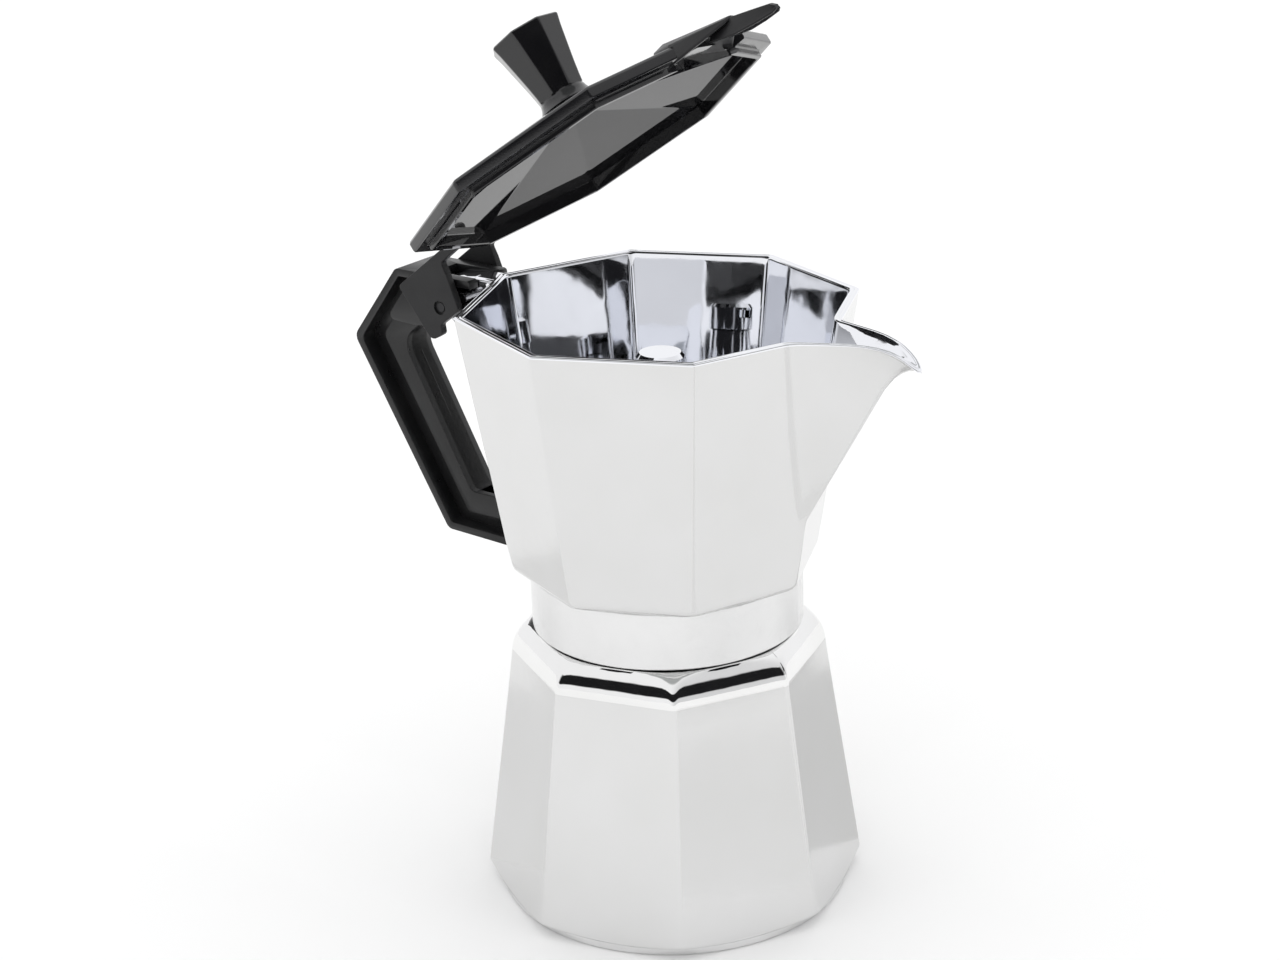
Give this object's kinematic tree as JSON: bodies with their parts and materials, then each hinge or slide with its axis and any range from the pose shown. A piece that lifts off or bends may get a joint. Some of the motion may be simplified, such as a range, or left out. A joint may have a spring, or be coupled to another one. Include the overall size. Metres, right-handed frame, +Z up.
{
  "type": "moka pot",
  "caption": "Stovetop moka pot with an octagonal boiler, screw-on collector with a pouring spout, hinged lid with a flared knob, and side handle.",
  "frame": {"origin": "on the pot's axis at the underside of the foot", "axes": "+Z up along the pot's axis, +X towards the spout, handle and hinge towards -X"},
  "size_m": [0.1822, 0.109, 0.2495],
  "materials": {
    "cast_aluminium": "polished, fine wear",
    "polished_aluminium": "mirror polished",
    "sheet_aluminium": "satin pressed sheet",
    "brass": "turned",
    "spring_steel": "drawn wire and turned steel",
    "hinge_steel": "blackened",
    "valve_washer": "smooth",
    "gasket_rubber": "smooth, slightly soft",
    "handle_plastic": "heat-proof moulded, semi-gloss",
    "lid_plastic": "moulded, satin",
    "knob_plastic": "gloss moulded"
  },
  "bodies": {
    "boiler": {"boiler": "cast_aluminium", "funnel_basket": "sheet_aluminium", "funnel_stem": "sheet_aluminium", "funnel_strainer": "sheet_aluminium", "valve_body": "brass", "valve_washer": "valve_washer", "valve_seat": "brass", "valve_spring": "spring_steel"},
    "valve_piston": {"valve_piston": "spring_steel"},
    "seal_stack": {"gasket": "gasket_rubber", "filter_plate": "sheet_aluminium"},
    "collector": {"collector": "polished_aluminium", "column": "polished_aluminium", "column_cap": "polished_aluminium", "handle": "handle_plastic", "handle_rivet": "spring_steel", "hinge_pin": "hinge_steel"},
    "lid": {"lid": "lid_plastic", "knob": "knob_plastic", "knob_insert": "brass", "knob_stud": "spring_steel", "knob_washer": "spring_steel"}
  },
  "joints": [
    {"name": "collector_rise", "type": "slide", "parent": "boiler", "child": "seal_stack", "axis": [0, 0, 1], "range_m": [0, 0.0076]},
    {"name": "collector_turn", "type": "hinge", "parent": "seal_stack", "child": "collector", "pos_m": [0, 0, 0.085], "axis": [0, 0, 1], "range_deg": [0, 900]},
    {"name": "lid_hinge", "type": "hinge", "parent": "collector", "child": "lid", "pos_m": [-0.067, 0, 0.1594], "axis": [0, -1, 0], "range_deg": [-37.6, 55]},
    {"name": "valve_lift", "type": "slide", "parent": "boiler", "child": "valve_piston", "axis": [-0.2605, 0.9655, 0], "range_m": [0, 0.0012], "stiffness_N_per_m": 800, "springref_m": -0.004}
  ],
  "couplings": [
    {"joint": "collector_rise", "follows": "collector_turn", "m_per_rad": 0.00047746}
  ]
}
